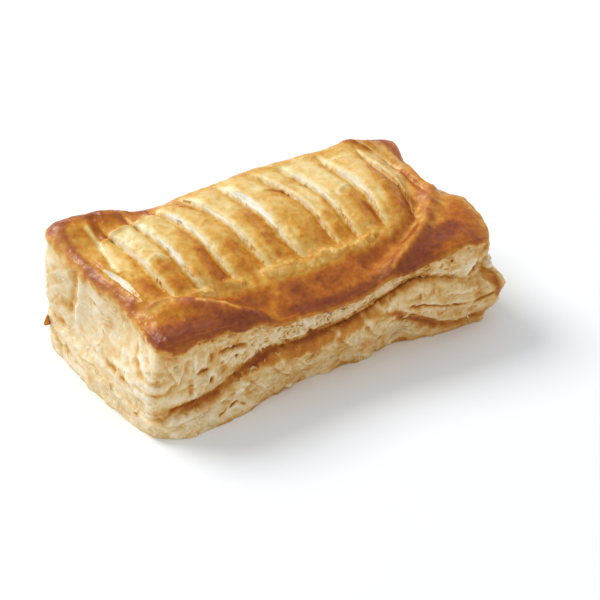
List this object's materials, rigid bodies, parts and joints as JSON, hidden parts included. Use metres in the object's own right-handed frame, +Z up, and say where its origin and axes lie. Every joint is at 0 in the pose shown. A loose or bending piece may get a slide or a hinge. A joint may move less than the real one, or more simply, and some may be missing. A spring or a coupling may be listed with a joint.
{
  "type": "chicken pastry roll",
  "caption": "Baked puff-pastry roll with a domed, slit top crust, a folded border, flaky open sides and a flat base, standing on its own.",
  "frame": {"origin": "on the surface that the roll rests on, at the middle of its bounding box", "axes": "+X along the roll's length, towards its lower end, -Y out of the long side with the open seam, +Z up"},
  "size_m": [0.1434, 0.0776, 0.0481],
  "materials": {
    "baked_pastry": "egg-washed golden-brown crust with a low gloss, pale dry layers at the sides"
  },
  "bodies": {
    "root": {"pastry_roll": "baked_pastry"}
  },
  "joints": []
}
